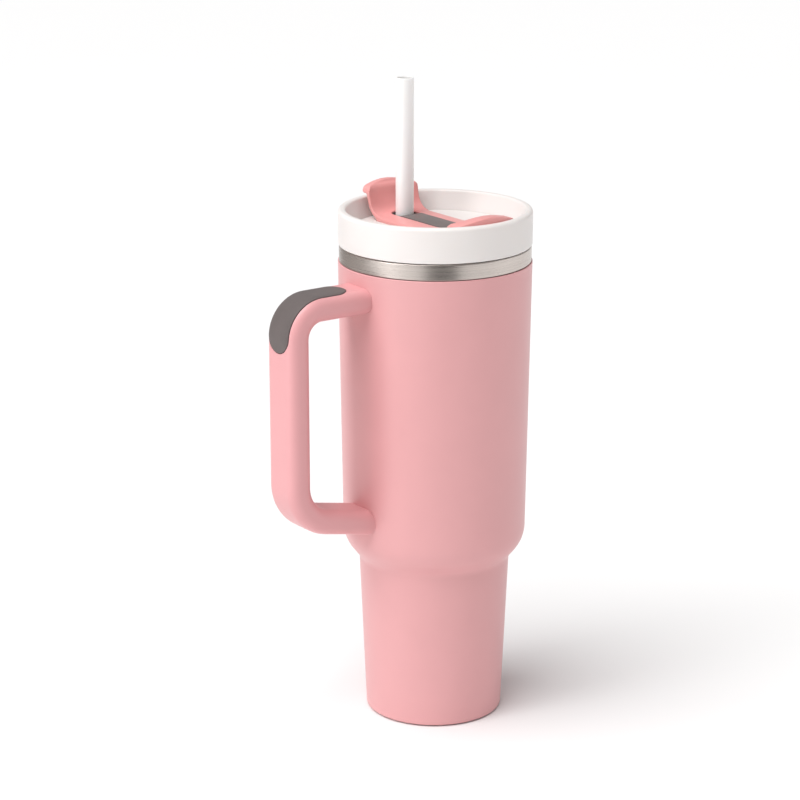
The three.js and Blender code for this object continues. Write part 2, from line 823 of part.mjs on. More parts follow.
group.add(
  piece('lid_body', lidBody(), 'whitePlastic'),
  piece('lid_skirt', lidSkirt(), 'whitePlastic'),
  piece('lid_gasket', lidGasket(), 'silicone'),
  piece('cover_seal_ring', coverSealRing(), 'silicone'),
  piece('cover_disc', coverDisc(), 'whitePlastic'),
  piece('rotating_cover', rotatingCover(), 'pinkPlastic'),
  piece('cover_insert', coverInsert(), 'greyRubber'),
  piece('straw_grommet', strawGrommet(), 'greyRubber'),
  piece('pivot_pin', pivotPin(), 'screwSteel'),
  piece('pivot_washer', pivotWasher(), 'screwSteel'),
  piece('straw', strawTube(), 'clearPlastic'),
);

export default group;
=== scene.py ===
"""Finished insulated tumbler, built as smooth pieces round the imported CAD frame.

Shapes are worked out in millimetres and placed in metres, in the frame's own axes:
+Z is up the cup, -X points to the handle, +Y points to the finger tab and the straw.
"""

import math
from types import SimpleNamespace

import bmesh
import bpy
from mathutils import Matrix, Vector


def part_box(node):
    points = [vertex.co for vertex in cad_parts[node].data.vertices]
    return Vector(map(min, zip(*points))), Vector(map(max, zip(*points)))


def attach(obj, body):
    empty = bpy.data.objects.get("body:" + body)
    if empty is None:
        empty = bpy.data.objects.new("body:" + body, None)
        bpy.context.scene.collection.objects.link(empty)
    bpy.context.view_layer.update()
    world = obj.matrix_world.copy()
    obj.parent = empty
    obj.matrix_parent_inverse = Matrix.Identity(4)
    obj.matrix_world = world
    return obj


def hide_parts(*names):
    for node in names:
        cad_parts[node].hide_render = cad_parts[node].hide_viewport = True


bl_info = {
    "name": "Insulated Tumbler",
    "version": (1, 0, 0),
    "blender": (4, 5, 0),
    "location": "3D View > Sidebar > Tumbler",
    "description": "Builds the tumbler's shell, handle, lid, turning cover and straw round the packed model",
    "category": "Object",
}

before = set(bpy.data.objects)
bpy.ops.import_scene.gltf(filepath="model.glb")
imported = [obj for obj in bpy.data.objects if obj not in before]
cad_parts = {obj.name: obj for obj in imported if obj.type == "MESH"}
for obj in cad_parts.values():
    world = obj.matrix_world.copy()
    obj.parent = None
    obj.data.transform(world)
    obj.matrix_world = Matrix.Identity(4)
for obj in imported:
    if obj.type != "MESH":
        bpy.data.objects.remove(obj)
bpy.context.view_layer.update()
MM = 0.001
ROUND = 192          # steps round the large turned pieces
SMALL_ROUND = 96     # steps round the straw and what it passes through
PIN_ROUND = 64       # steps round the pivot's hole
ARC = 7.5            # degrees per step in a rounded corner
SUPPORT = 0.12       # distance of the extra point beside each rounded corner
FIT = 0.3            # clearance between pieces that fit together, in millimetres
PIN_HOLE = 3.3       # radius of the hole for the pivot pin
STRAW_ROOM = 2.1     # from the straw to the edge of its opening in the cover
COVER_TURN = math.radians(60)    # turn that the slot in the lid's floor allows
PAST = 60.0          # a length past any edge of the lid, for cutters


def span(node):
    """Lowest and highest corner of a CAD node, in millimetres."""
    low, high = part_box(node)
    return low / MM, high / MM


def number(name, description, default, **settings):
    return bpy.props.FloatProperty(name=name, description=description, default=default, **settings)


def distance(name, description, default):
    """A length setting whose default is given in millimetres."""
    return number(name, description, default * MM, subtype="DISTANCE", unit="LENGTH", precision=5)


def angle(name, description, degrees):
    return number(name, description, math.radians(degrees), subtype="ANGLE", unit="ROTATION")


def colour(name, description, default):
    return bpy.props.FloatVectorProperty(
        name=name, description=description, default=default, subtype="COLOR", size=3, min=0.0, max=1.0
    )


def in_mm(group):
    """The settings of a property group, with its lengths in millimetres."""
    values = {}
    for key in group.__annotations__:
        value = getattr(group, key)
        values[key] = value / MM if group.bl_rna.properties[key].unit == "LENGTH" else value
    return SimpleNamespace(**values)


# ---- outlines and meshes


def arc(centre, radius, start, sweep, steps, skip=0):
    """Points on an arc; skip leaves out that many at each end."""
    turns = [start + sweep * k / steps for k in range(skip, steps + 1 - skip)]
    return [(centre[0] + radius * math.cos(turn), centre[1] + radius * math.sin(turn)) for turn in turns]


def rounded(corners, closed=True, step=ARC, support=SUPPORT):
    """Points of an outline whose corners are (x, y) or (x, y, radius), with a support point beside each arc."""
    points = []
    count = len(corners)
    for i, corner in enumerate(corners):
        here = Vector(corner[:2])
        radius = corner[2] if len(corner) > 2 else 0
        at_end = not closed and i in (0, count - 1)
        if not radius or at_end:
            points.append(here)
            continue
        before = Vector(corners[i - 1][:2]) - here
        after = Vector(corners[(i + 1) % count][:2]) - here
        room = 0.48 * min(before.length, after.length)
        before.normalize()
        after.normalize()
        half = before.angle(after) / 2
        setback = min(radius / math.tan(half), room)
        radius = setback * math.tan(half)
        centre = here + (before + after).normalized() * radius / math.sin(half)
        first = here + before * setback - centre
        last = here + after * setback - centre
        start = math.atan2(first.y, first.x)
        sweep = math.atan2(last.y, last.x) - start
        sweep = (sweep + math.pi) % (2 * math.pi) - math.pi
        steps = max(2, math.ceil(abs(sweep) / math.radians(step)))
        points.append(here + before * (setback + support))
        for k in range(steps + 1):
            turn = start + sweep * k / steps
            points.append(centre + Vector((math.cos(turn), math.sin(turn))) * radius)
        points.append(here + after * (setback + support))
    return points


def face_out(bm):
    """Merges doubles and turns the faces of one closed shell outwards."""
    bmesh.ops.remove_doubles(bm, verts=bm.verts, dist=1e-4)
    bmesh.ops.recalc_face_normals(bm, faces=bm.faces)
    if bm.calc_volume(signed=True) < 0:
        bmesh.ops.reverse_faces(bm, faces=bm.faces)
    return bm


def grid_mesh(rows, close_rows=False, close_columns=True, caps=False):
    """A mesh through rows of points; each row has the same count."""
    bm = bmesh.new()
    verts = [[bm.verts.new(point) for point in row] for row in rows]
    count, width = len(rows), len(rows[0])
    for i in range(count if close_rows else count - 1):
        for j in range(width if close_columns else width - 1):
            a, b = verts[i], verts[(i + 1) % count]
            bm.faces.new((a[j], a[(j + 1) % width], b[(j + 1) % width], b[j]))
    if caps:
        bm.faces.new(reversed(verts[0]))
        bm.faces.new(verts[-1])
    return bm


def lathe(corners, segments=ROUND, centre=(0, 0), step=ARC, support=SUPPORT):
    """A turned solid from corners (radius, height, rounding). The outline closes on itself or on the axis."""
    open_ended = corners[0][0] == 0
    points = rounded(corners, closed=not open_ended, step=step, support=support)
    rows = []
    for k in range(segments):
        turn = 2 * math.pi * k / segments
        x, y = math.cos(turn), math.sin(turn)
        rows.append([(centre[0] + p.x * x, centre[1] + p.x * y, p.y) for p in points])
    return face_out(grid_mesh(rows, close_rows=True, close_columns=not open_ended))


def tube(inner, outer, low, high, corners, segments=ROUND, centre=(0, 0)):
    """A turned ring; corners are the roundings of its four edges, from the inner lower one round by the outside."""
    radii, heights = (inner, outer, outer, inner), (low, low, high, high)
    return lathe(list(zip(radii, heights, corners)), segments, centre)


def prism(points, low, high, axis="Z"):
    """An outline drawn in the plane across an axis, extruded along it."""
    bm = bmesh.new()
    bottom, top = (
        [bm.verts.new((x, y, height) if axis == "Z" else (x, height, y)) for x, y in points] for height in (low, high)
    )
    bm.faces.new(bottom)
    bm.faces.new(top)
    for i in range(len(points)):
        j = (i + 1) % len(points)
        bm.faces.new((bottom[i], bottom[j], top[j], top[i]))
    return face_out(bm)


def placed(name, data):
    obj = bpy.data.objects.new(name, data)
    bpy.context.scene.collection.objects.link(obj)
    return obj


def as_object(bm, name):
    mesh = bpy.data.meshes.new(name)
    bm.to_mesh(mesh)
    bm.free()
    return placed(name, mesh)


def applied(obj):
    """Replaces an object's mesh by its evaluated mesh and drops the modifiers."""
    depsgraph = bpy.context.evaluated_depsgraph_get()
    mesh = bpy.data.meshes.new_from_object(obj.evaluated_get(depsgraph))
    obj.modifiers.clear()
    old = obj.data
    obj.data = mesh
    bpy.data.meshes.remove(old)
    return obj


def combine(obj, other, operation):
    """Joins, cuts or intersects an object with another object or bmesh, exactly, and removes the other."""
    tool = as_object(other, "tool") if isinstance(other, bmesh.types.BMesh) else other
    modifier = obj.modifiers.new("combine", "BOOLEAN")
    modifier.operation = operation
    modifier.solver = "EXACT"
    modifier.object = tool
    applied(obj)
    mesh = tool.data
    bpy.data.objects.remove(tool)
    bpy.data.meshes.remove(mesh)
    return obj


def bore(obj, radius, low, high, centre_y=0.0, segments=PIN_ROUND):
    """Cuts an upright round hole."""
    hole = lathe([(0, low), (radius, low), (radius, high), (0, high)], segments, (0, centre_y))
    return combine(obj, hole, "DIFFERENCE")


def soften(obj, voxel, passes, factor=0.5):
    """Remeshes a joined shape evenly and smooths it, which rounds its edges as a mould does."""
    remesh = obj.modifiers.new("remesh", "REMESH")
    remesh.mode = "VOXEL"
    remesh.voxel_size = voxel
    smooth = obj.modifiers.new("smooth", "SMOOTH")
    smooth.iterations = passes
    smooth.factor = factor
    return applied(obj)


def finish_piece(obj, finish, body, slot, *nodes, sharp=None):
    """Puts a millimetre piece in place in metres, shades it, and hangs it on its body in place of CAD nodes."""
    obj.data.transform(Matrix.Scale(MM, 4))
    obj.data.materials.clear()
    obj.data.materials.append(finish)
    for polygon in obj.data.polygons:
        polygon.use_smooth = True
        polygon.material_index = 0
    if sharp is not None:
        obj.data.set_sharp_from_angle(angle=math.radians(sharp))
    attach(obj, body)
    if nodes:
        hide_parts(*nodes)
    return obj


# ---- finishes


def maths(operation, swapped=False):
    """An operator method that adds one Math node."""

    def method(self, other):
        first, second = (other, self) if swapped else (self, other)
        return self.finish.node("ShaderNodeMath", {"operation": operation}, {0: first, 1: second})

    return method


class Value:
    """A shader output that adds Math nodes when it is used in an expression."""

    def __init__(self, finish, socket):
        self.finish = finish
        self.socket = socket

    __add__, __radd__ = maths("ADD"), maths("ADD", swapped=True)
    __sub__, __rsub__ = maths("SUBTRACT"), maths("SUBTRACT", swapped=True)
    __mul__, __rmul__ = maths("MULTIPLY"), maths("MULTIPLY", swapped=True)


class Finish:
    """A material built from nodes: maths is written as expressions on the values that node() returns."""

    def __init__(self, name):
        self.material = bpy.data.materials.new(name)
        self.material.use_nodes = True
        self.tree = self.material.node_tree
        self.tree.nodes.clear()
        self.coords = self.node("ShaderNodeTexCoord", output="Object")

    def node(self, kind, settings=None, inputs=None, output=0):
        node = self.tree.nodes.new(kind)
        for key, setting in (settings or {}).items():
            setattr(node, key, setting)
        for key, value in (inputs or {}).items():
            if isinstance(value, Value):
                self.tree.links.new(value.socket, node.inputs[key])
            else:
                node.inputs[key].default_value = value
        return Value(self, node.outputs[output]) if node.outputs else node

    def stretched(self, scale):
        """Object coordinates, scaled per axis."""
        return self.node("ShaderNodeMapping", None, {"Vector": self.coords, "Scale": scale})

    def noise(self, scale, detail=2.0, roughness=0.5, vector=None):
        inputs = {"Vector": vector or self.coords, "Scale": scale, "Detail": detail, "Roughness": roughness}
        return self.node("ShaderNodeTexNoise", None, inputs, "Fac")

    def ramp(self, value, low, high):
        """0 below low, 1 above high."""
        return self.node("ShaderNodeMapRange", None, {"Value": value, "From Min": low, "From Max": high})

    def tone(self, value, rgb, dark, light):
        """A colour made darker or lighter by a value."""
        first, second = (tuple(min(1.0, channel * factor) for channel in rgb) + (1.0,) for factor in (dark, light))
        return self.node("ShaderNodeMix", {"data_type": "RGBA"}, {0: value, 6: first, 7: second}, 2)

    def bump(self, height, strength, depth):
        return self.node("ShaderNodeBump", None, {"Height": height, "Strength": strength, "Distance": depth})

    def surface(self, **sockets):
        inputs = {key.replace("_", " "): value for key, value in sockets.items()}
        shader = self.node("ShaderNodeBsdfPrincipled", None, inputs)
        self.node("ShaderNodeOutputMaterial", None, {"Surface": shader})
        return self.material


def powder_coat(name, rgb, grain):
    """Satin powder coat: a very fine orange peel, slightly uneven tone and gloss."""
    finish = Finish(name)
    peel = finish.noise(1500.0, 3.0, 0.55)
    drift = finish.noise(22.0, 3.0, 0.6)
    return finish.surface(
        Base_Color=finish.tone(finish.ramp(drift, 0.3, 0.7), rgb, 0.975, 1.02),
        Roughness=0.36 + 0.07 * peel + 0.05 * drift, Specular_IOR_Level=0.55, Coat_Weight=0.2,
        Coat_Roughness=0.32, Normal=finish.bump(peel, grain, 0.00006),
    )


def brushed_steel(name, rgb):
    """Steel brushed round the cup: long thin scratches of one height."""
    finish = Finish(name)
    fine = finish.noise(1.0, 4.0, 0.65, finish.stretched((26.0, 26.0, 9000.0)))
    broad = finish.noise(1.0, 2.0, 0.5, finish.stretched((10.0, 10.0, 1800.0)))
    streak = 0.65 * fine + 0.35 * broad
    return finish.surface(
        Base_Color=finish.tone(finish.ramp(streak, 0.32, 0.68), rgb, 0.86, 1.1), Metallic=1.0,
        Roughness=0.2 + 0.16 * streak, Anisotropic=0.5, Normal=finish.bump(fine, 0.22, 0.00003),
    )


def plain_steel(name, rgb):
    """Turned steel of the small hidden parts."""
    finish = Finish(name)
    mark = finish.noise(900.0, 3.0, 0.6)
    return finish.surface(
        Base_Color=finish.tone(mark, rgb, 0.85, 1.1), Metallic=1.0, Roughness=0.25 + 0.15 * mark,
        Normal=finish.bump(mark, 0.1, 0.00004),
    )


def moulded(name, rgb, roughness, glow=0.0):
    """Moulded plastic with a faint spark-eroded texture and a little light inside it."""
    finish = Finish(name)
    texture = finish.noise(2400.0, 2.0, 0.5)
    flow = finish.noise(30.0, 2.0, 0.5)
    return finish.surface(
        Base_Color=finish.tone(finish.ramp(flow, 0.3, 0.7), rgb, 0.985, 1.01),
        Roughness=roughness - 0.04 + 0.06 * texture + 0.03 * flow, Specular_IOR_Level=0.45,
        Subsurface_Weight=glow, Subsurface_Radius=(1.0, 0.8, 0.7), Subsurface_Scale=0.002,
        Normal=finish.bump(texture, 0.05, 0.00004),
    )


def soft_rubber(name, rgb, roughness=0.62):
    """Matt rubber with a fine grain and slight rubbed patches."""
    finish = Finish(name)
    grain = finish.noise(3200.0, 3.0, 0.6)
    rubbed = finish.ramp(finish.noise(60.0, 3.0, 0.6), 0.35, 0.75)
    return finish.surface(
        Base_Color=finish.tone(rubbed, rgb, 0.93, 1.08),
        Roughness=roughness - 0.06 + 0.12 * grain - 0.04 * rubbed, Specular_IOR_Level=0.35,
        Sheen_Weight=0.12, Sheen_Roughness=0.5, Normal=finish.bump(grain, 0.18, 0.00005),
    )


def frosted_straw(name, rgb):
    """Milky straw plastic with faint lengthwise draw lines."""
    finish = Finish(name)
    lines = finish.noise(1.0, 3.0, 0.6, finish.stretched((2600.0, 2600.0, 14.0)))
    return finish.surface(
        Base_Color=finish.tone(lines, rgb, 0.98, 1.01), Roughness=0.26 + 0.1 * lines, Subsurface_Weight=0.3,
        Subsurface_Radius=(1.0, 0.9, 0.8), Subsurface_Scale=0.002, Normal=finish.bump(lines, 0.05, 0.00004),
    )


# ---- sizes and colours

shell_low, shell_high = span("outer_shell")
liner_low, liner_high = span("inner_liner")
pad_high = span("base_pad")[1]
handle_low, handle_high = span("handle")
lid_low, lid_high = span("lid_body")
skirt_low, skirt_high = span("lid_skirt")
gasket_low, gasket_high = span("lid_gasket")
disc_low, disc_high = span("cover_disc")
cover_low, cover_high = span("rotating_cover")
insert_low, insert_high = span("cover_insert")
grommet_low, grommet_high = span("straw_grommet")
straw_low, straw_high = span("straw")
straw_y = ((straw_low + straw_high) / 2).y
straw_radius = (straw_high.x - straw_low.x) / 2
GASKET_WALL = 1.3
skirt_radius = gasket_high.x - GASKET_WALL - FIT


class CupSizes(bpy.types.PropertyGroup):
    shoulder_radius: distance("Shoulder Radius", "Shell radius at the step, before rounding", 46.95)
    shoulder_height: distance("Shoulder Height", "Height of the upper corner of the step", 94.1)
    shoulder_round: distance("Shoulder Rounding", "Radius of the bulge over the step", 18.0)
    neck_radius: distance("Neck Radius", "Shell radius under the step, before rounding", 38.9)
    neck_height: distance("Neck Height", "Height of the lower corner of the step", 84.25)
    neck_round: distance("Neck Rounding", "Radius of the hollow under the step", 6.0)
    foot_radius: distance("Foot Radius", "Shell radius at the foot, before rounding", 35.3)
    foot_round: distance("Foot Rounding", "Radius of the lower edge", 2.5)
    wall: distance("Wall", "Thickness of each steel wall", 0.9)
    vacuum: distance("Vacuum Gap", "Gap between the two walls", 2.4)
    paint: colour("Paint", "Powder coat colour", (0.735, 0.362, 0.37))
    steel: colour("Steel", "Colour of the bare steel", (0.56, 0.505, 0.47))
    # Deep maroon: the pad's own colour, darkened so that it also gives painted shade, the dark shadow line under the
    # cup's foot.
    foot: colour("Foot Pad", "Colour of the pad under the cup", (0.36, 0.11, 0.12))


class HandleSizes(bpy.types.PropertyGroup):
    width: distance("Width", "Width across the grip", 23.2)
    thickness: distance("Thickness", "Depth of the grip, away from the cup", 12.8)
    rounding: distance("Rounding", "Radius of the long edges", 5.4)
    top_bend: distance("Top Bend", "Radius of the upper bend at mid-section", 14.0)
    low_bend: distance("Lower Bend", "Radius of the lower bend at mid-section", 21.0)
    low_slope: angle("Lower Slope", "Rise of the lower arm away from the cup", 11.7)
    low_root: distance("Lower Root", "Height of the lower arm at the shell", 111.5)
    grip_half: distance("Grip Half Width", "Half the width of the soft grip", 8.5)
    grip_start: distance("Grip Start", "Cup axis to the inner tip of the soft grip", 57.0)
    grip_end: distance("Grip End", "Height of the lower tip of the soft grip", 206.5)
    grip_tip: distance("Grip Tip", "Length of each rounded end", 8.2)
    grip_gap: distance("Grip Gap", "Gap between the soft grip and its pocket", 0.32)
    proud: distance("Grip Proud", "Height of the grip above the handle", 0.22)
    paint: colour("Handle", "Handle colour", (0.74, 0.35, 0.362))
    rubber: colour("Grip", "Soft grip colour", (0.118, 0.097, 0.094))


class LidSizes(bpy.types.PropertyGroup):
    outer_round: distance("Rim Outer Rounding", "Radius of the rim's outer edge", 2.3)
    inner_round: distance("Rim Inner Rounding", "Radius of the rim's inner edge", 1.5)
    rim: distance("Rim Width", "Width of the rim, before rounding", 3.7)
    dish: distance("Dish Inset", "Rim outside to the foot of the dish wall", 7.0)
    floor: distance("Floor Height", "Top of the lid's floor above its lower edge", 4.3)
    floor_wall: distance("Floor Thickness", "Thickness of the lid's floor", 2.0)
    edge_wall: distance("Edge Wall", "Outer wall below the floor", 2.1)
    slot_room: distance("Slot Room", "From the straw to the edge of the slot in the floor", 1.15)
    skirt_wall: distance("Skirt Wall", "Wall of the threaded skirt", 2.0)
    thread_pitch: distance("Thread Pitch", "Rise of the thread in one turn", 6.0)
    thread_bead: distance("Thread Bead", "Radius of the thread's round section", 1.1)
    white: colour("Lid", "Lid colour", (0.81, 0.768, 0.748))


class CoverSizes(bpy.types.PropertyGroup):
    half_width: distance("Half Width", "Half the width of the bar and the finger tab", 15.6)
    crown: distance("Crown", "Rise of the bar from its edges to the insert", 0.7)
    edge_step: distance("Edge Step", "Long edges of the bar above the disc", 2.1)
    tab_foot: distance("Tab Foot", "Cup axis to the back of the tab's foot", 33.0)
    tab_round: distance("Tab Corner", "Radius of the tab's upper corners", 3.2)
    tab_corner: distance("Tab Corner Rise", "Tab corners above the lid's rim", 6.0)
    tab_arch: distance("Tab Arch", "Rise of the tab's outline from its corners to its point", 3.0)
    hook_reach: distance("Hook Reach", "Cup axis to the outer edge of the tab's hook", 44.2)
    hook_rise: distance("Hook Rise", "Underside of the hook above the lid's rim", 2.7)
    lip_half: distance("Lip Half Width", "Half the width of the low lip", 17.6)
    lip_rise: distance("Lip Rise", "Low lip above the lid's rim", 2.1)
    crest_inset: distance("Crest Inset", "Inside of the rim to the crest of the low lip", 5.8)
    lip_arch: distance("Lip Arch", "Rise of the lip's outline from its ends to its middle", 1.7)
    lip_drop: distance("Lip Side Drop", "Ends of the low lip below the rim", 0.3)
    seal_rise: distance("Seal Rise", "Straw seal above the solid model's seal", 2.6)
    voxel: distance("Mould Detail", "Cell size of the smoothed cover mesh", 0.3)
    pink: colour("Cover", "Cover colour", (0.805, 0.345, 0.335))
    grey: colour("Insert", "Insert colour", (0.145, 0.12, 0.116))


class StrawSizes(bpy.types.PropertyGroup):
    wall: distance("Wall", "Straw wall", 0.95)
    lip: distance("Lip", "Rounding of the cut ends", 0.35)
    milk: colour("Straw", "Straw colour", (0.94, 0.925, 0.91))


def step_line(sizes, inset=0.0):
    """Corners of the cup's outside from mouth to foot, moved inwards by a distance."""
    line = [
        (shell_high.x, shell_high.z, 0),
        (sizes.shoulder_radius, sizes.shoulder_height, sizes.shoulder_round),
        (sizes.neck_radius, sizes.neck_height, sizes.neck_round),
        (sizes.foot_radius, shell_low.z, 0),
    ]
    corners = [Vector(corner[:2]) for corner in line]
    runs = [above - below for above, below in zip(corners, corners[1:])]
    sides = [Vector((run.y, -run.x)).normalized() for run in runs]
    moved = []
    for i, here in enumerate(corners):
        above, below = sides[max(i - 1, 0)], sides[min(i, len(sides) - 1)]
        mitre = (above + below).normalized()
        here = here - mitre * inset / mitre.dot(below)
        rounding, bulge = line[i][2], -1 if i == 1 else 1
        moved.append((here.x, here.y, max(0.3, rounding + bulge * inset) if rounding else 0))
    return moved


def cone_radius(sizes, height, inset):
    """Radius of the lower cone at a height, moved inwards."""
    share = (height - shell_low.z) / (sizes.neck_height - shell_low.z)
    return sizes.foot_radius + (sizes.neck_radius - sizes.foot_radius) * share - inset


def upper_radius(sizes, height):
    """Outer radius of the shell above the step, at a height."""
    share = (height - sizes.shoulder_height) / (shell_high.z - sizes.shoulder_height)
    return sizes.shoulder_radius + (shell_high.x - sizes.shoulder_radius) * share


# ---- cup


class TUMBLER_OT_shell(bpy.types.Operator):
    """Painted outer shell with its step and rounded foot"""

    bl_idname = "tumbler.shell"
    bl_label = "Painted Shell"

    def execute(self, context):
        sizes = in_mm(context.scene.cup_sizes)
        wall = sizes.wall
        outside = step_line(sizes)
        outside[0] = (outside[0][0], outside[0][1], 0.35)
        outside[3] = (outside[3][0], outside[3][1], sizes.foot_round)
        inside = step_line(sizes, wall)[::-1]
        flange = span("bottom_plate")[1].x + FIT
        flange_top = shell_low.z + wall
        inside[0] = (cone_radius(sizes, flange_top, wall), flange_top, sizes.foot_round - wall)
        inside[3] = (inside[3][0], shell_high.z, 0.2)
        line = outside + [(flange, shell_low.z, 0.25), (flange, flange_top, 0.25)] + inside
        shell = as_object(lathe(line), "painted_shell")
        finish = powder_coat("pink_powder_coat", sizes.paint, 0.10)
        finish_piece(shell, finish, "cup", "pink_paint", "outer_shell")
        return {"FINISHED"}


class TUMBLER_OT_liner(bpy.types.Operator):
    """Bare steel liner with the mouth collar that shows under the lid"""

    bl_idname = "tumbler.liner"
    bl_label = "Steel Liner"

    def execute(self, context):
        sizes = in_mm(context.scene.cup_sizes)
        wall = sizes.wall
        gap = wall + sizes.vacuum
        outer, inner = step_line(sizes, gap), step_line(sizes, gap + wall)[::-1]
        floor = liner_low.z + wall
        collar, collar_bottom = liner_high.x, shell_high.z + FIT
        bore_radius = gasket_high.x + FIT
        thread_foot = collar_bottom - 12.0
        neck_foot = thread_foot - 3.0
        line = [
            (0, liner_low.z), (cone_radius(sizes, liner_low.z, gap), liner_low.z, 2.4),
            outer[2],
            outer[1],
            (outer[0][0], neck_foot, 1.5), (bore_radius + wall, thread_foot, 1.5),
            (bore_radius + wall, collar_bottom, 0.2), (collar, collar_bottom, 0.3),
            (collar, liner_high.z, 0.7), (bore_radius, liner_high.z, 0.7),
            (bore_radius, thread_foot, 1.5), (inner[3][0], neck_foot, 1.5),
            inner[2],
            inner[1],
            (cone_radius(sizes, floor, gap + wall), floor, 1.5), (0, floor),
        ]
        liner = as_object(lathe(line), "steel_liner")
        finish_piece(liner, brushed_steel("brushed_steel", sizes.steel), "cup", "brushed_steel", "inner_liner")
        return {"FINISHED"}


def thread_tree():
    """Geometry Nodes tree for a bead of screw thread: a round section that follows a rising spiral."""
    tree = bpy.data.node_groups.new("screw_thread", "GeometryNodeTree")
    sockets = {}
    for name in ("Radius", "Pitch", "Turns", "Bead Radius", "Start Height", "Material"):
        kind = "NodeSocketMaterial" if name == "Material" else "NodeSocketFloat"
        sockets[name] = tree.interface.new_socket(name, in_out="INPUT", socket_type=kind).identifier
    tree.interface.new_socket("Geometry", in_out="OUTPUT", socket_type="NodeSocketGeometry")

    def add(kind, **links):
        node = tree.nodes.new(kind)
        for key, source in links.items():
            target = node.inputs[key.replace("_", " ")]
            if isinstance(source, bpy.types.NodeSocket):
                tree.links.new(source, target)
            else:
                target.default_value = source
        return node

    given = tree.nodes.new("NodeGroupInput").outputs
    rise = tree.nodes.new("ShaderNodeMath")
    rise.operation = "MULTIPLY"
    tree.links.new(given["Pitch"], rise.inputs[0])
    tree.links.new(given["Turns"], rise.inputs[1])
    spiral = add(
        "GeometryNodeCurveSpiral", Resolution=144, Rotations=given["Turns"], Height=rise.outputs[0],
        Start_Radius=given["Radius"], End_Radius=given["Radius"], Reverse=True,
    )
    circle = add("GeometryNodeCurvePrimitiveCircle", Resolution=20, Radius=given["Bead Radius"])
    bead = add("GeometryNodeCurveToMesh", Curve=spiral.outputs[0], Profile_Curve=circle.outputs[0], Fill_Caps=True)
    offset = add("ShaderNodeCombineXYZ", Z=given["Start Height"])
    lift = add("GeometryNodeTransform", Geometry=bead.outputs[0], Translation=offset.outputs[0])
    real = add("GeometryNodeRealizeInstances", Geometry=lift.outputs[0])
    painted = add("GeometryNodeSetMaterial", Geometry=real.outputs[0], Material=given["Material"])
    result = tree.nodes.new("NodeGroupOutput")
    tree.links.new(painted.outputs[0], result.inputs[0])
    return tree, sockets


def thread_bead(name, finish, **values):
    """One thread bead as a plain mesh, in millimetres."""
    tree, sockets = thread_tree()
    bead = as_object(bmesh.new(), name)
    modifier = bead.modifiers.new("thread", "NODES")
    modifier.node_group = tree
    for key, value in values.items():
        modifier[sockets[key.replace("_", " ")]] = value
    modifier[sockets["Material"]] = finish
    applied(bead)
    bm = bmesh.new()
    bm.from_mesh(bead.data)
    face_out(bm)
    bm.to_mesh(bead.data)
    bm.free()
    return bead


class TUMBLER_OT_threads(bpy.types.Operator):
    """Screw threads on the lid's skirt and inside the cup's mouth"""

    bl_idname = "tumbler.threads"
    bl_label = "Screw Threads"

    def execute(self, context):
        sizes = in_mm(context.scene.lid_sizes)
        pitch, bead = sizes.thread_pitch, sizes.thread_bead
        start = skirt_low.z + 1.5
        turns = (gasket_low.z - FIT - bead - start - pitch / 2) / pitch
        plastic = moulded("skirt_white", sizes.white, 0.4)
        steel = bpy.data.materials["brushed_steel"]
        beads = (
            ("skirt_thread", plastic, "lid", "skirt_plastic", 0.4, 0.0),
            ("mouth_thread", steel, "cup", "brushed_steel", 2.1, pitch / 2),
        )
        for name, finish, body, slot, out, rise in beads:
            thread = thread_bead(
                name, finish,
                Radius=skirt_radius + out, Pitch=pitch, Turns=turns, Bead_Radius=bead, Start_Height=start + rise,
            )
            finish_piece(thread, finish, body, slot)
        return {"FINISHED"}


class TUMBLER_OT_foot(bpy.types.Operator):
    """Soft pad that the cup stands on, with a shallow ring groove; its dark colour is partly painted shade along the
    foot
    """

    bl_idname = "tumbler.foot"
    bl_label = "Foot Pad"

    def execute(self, context):
        radius, top = pad_high.x, pad_high.z
        groove, depth = radius - 6.0, 0.35
        line = [
            (0, 0), (groove - 1.0, 0, 0.2),
            (groove - 0.6, depth, 0.2), (groove + 0.6, depth, 0.2),
            (groove + 1.0, 0, 0.2), (radius, 0, 0.4),
            (radius, top, 0.3), (0, top),
        ]
        pad = as_object(lathe(line), "foot_pad")
        # The pad's dark maroon is partly its own colour and partly painted shade for the shadow line under the foot.
        finish = soft_rubber("foot_rubber_painted_shade", context.scene.cup_sizes.foot, 0.55)
        finish_piece(pad, finish, "cup", "base_rubber", "base_pad")
        return {"FINISHED"}


# ---- handle


